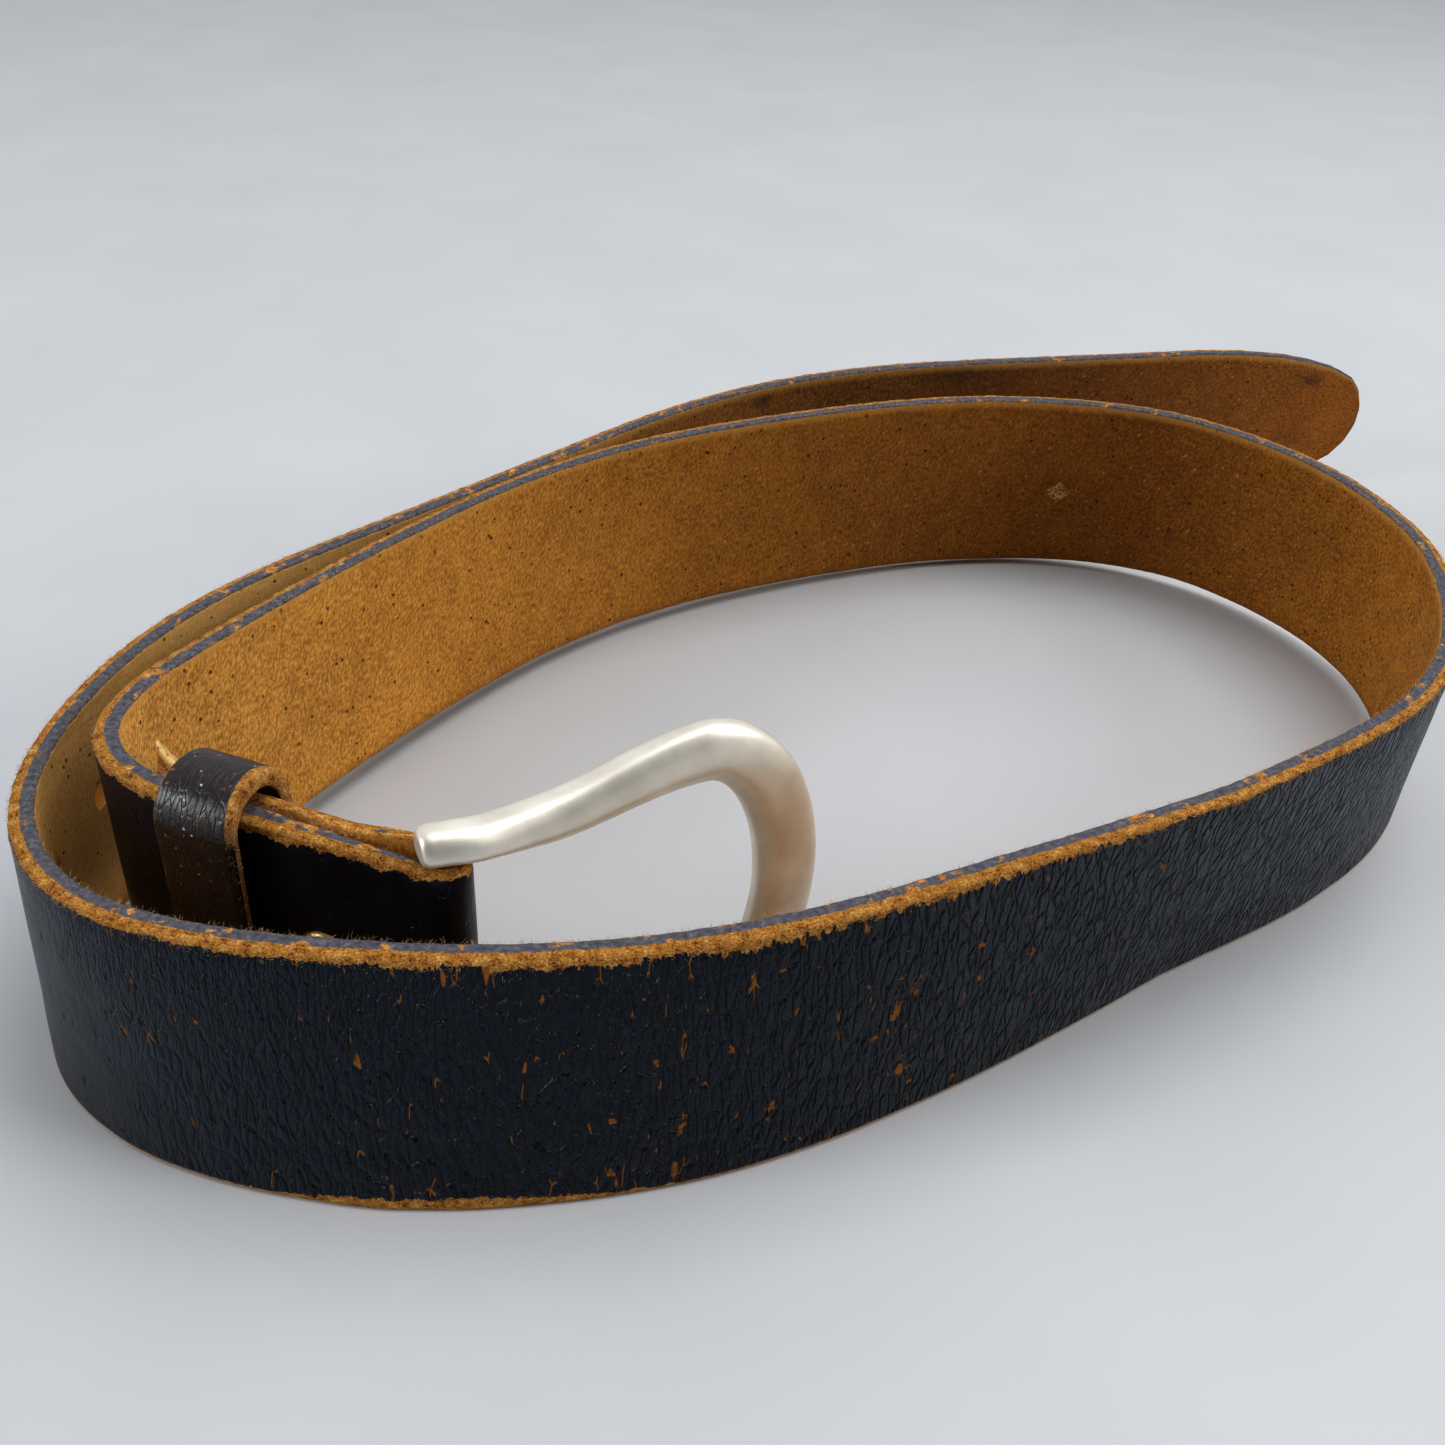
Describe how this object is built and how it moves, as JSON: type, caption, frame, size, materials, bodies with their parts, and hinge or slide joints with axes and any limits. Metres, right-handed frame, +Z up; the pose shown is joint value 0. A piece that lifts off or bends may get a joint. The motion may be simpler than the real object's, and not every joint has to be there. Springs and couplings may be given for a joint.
{
  "type": "leather dress belt",
  "caption": "Coiled dress belt standing on its edge: dark leather strap with pointed tip and punched holes, hinged horseshoe buckle with prong, sliding keeper.",
  "frame": {"origin": "bottom centre of the whole coiled belt, on the surface it stands on", "axes": "+Z is up, +Y points away from the viewer of the picture, +X to the viewer's right"},
  "size_m": [0.2494, 0.2368, 0.054],
  "materials": {
    "strap_leather": "worn semi-gloss near-black navy finish outside, raw tan suede inside",
    "keeper_leather": "dark worn leather with frayed tan edges",
    "staple_steel": "plain bent wire",
    "satin_nickel": "satin nickel, softly worn",
    "bar_steel": "plain drawn steel",
    "brassy_rivet": "dull brassy double cap rivet"
  },
  "bodies": {
    "strap": {"strap": "strap_leather", "rivet_post_1": "brassy_rivet", "rivet_cap_1": "brassy_rivet", "rivet_post_2": "brassy_rivet", "rivet_cap_2": "brassy_rivet"},
    "buckle": {"buckle_frame": "satin_nickel", "heel_bar": "bar_steel"},
    "prong": {"prong": "satin_nickel"},
    "keeper": {"keeper_loop": "keeper_leather", "keeper_staple": "staple_steel"}
  },
  "joints": [
    {"name": "buckle_hinge", "type": "hinge", "parent": "strap", "child": "buckle", "pos_m": [-0.0627, -0.1042, 0.025], "axis": [0, 0, 1], "range_deg": [0, 85]},
    {"name": "prong_hinge", "type": "hinge", "parent": "buckle", "child": "prong", "pos_m": [-0.0627, -0.1042, 0.025], "axis": [0, 0, 1], "range_deg": [0, 12]},
    {"name": "keeper_slide", "type": "slide", "parent": "strap", "child": "keeper", "axis": [0.9397, -0.342, 0], "range_m": [-0.002, 0.012]}
  ]
}
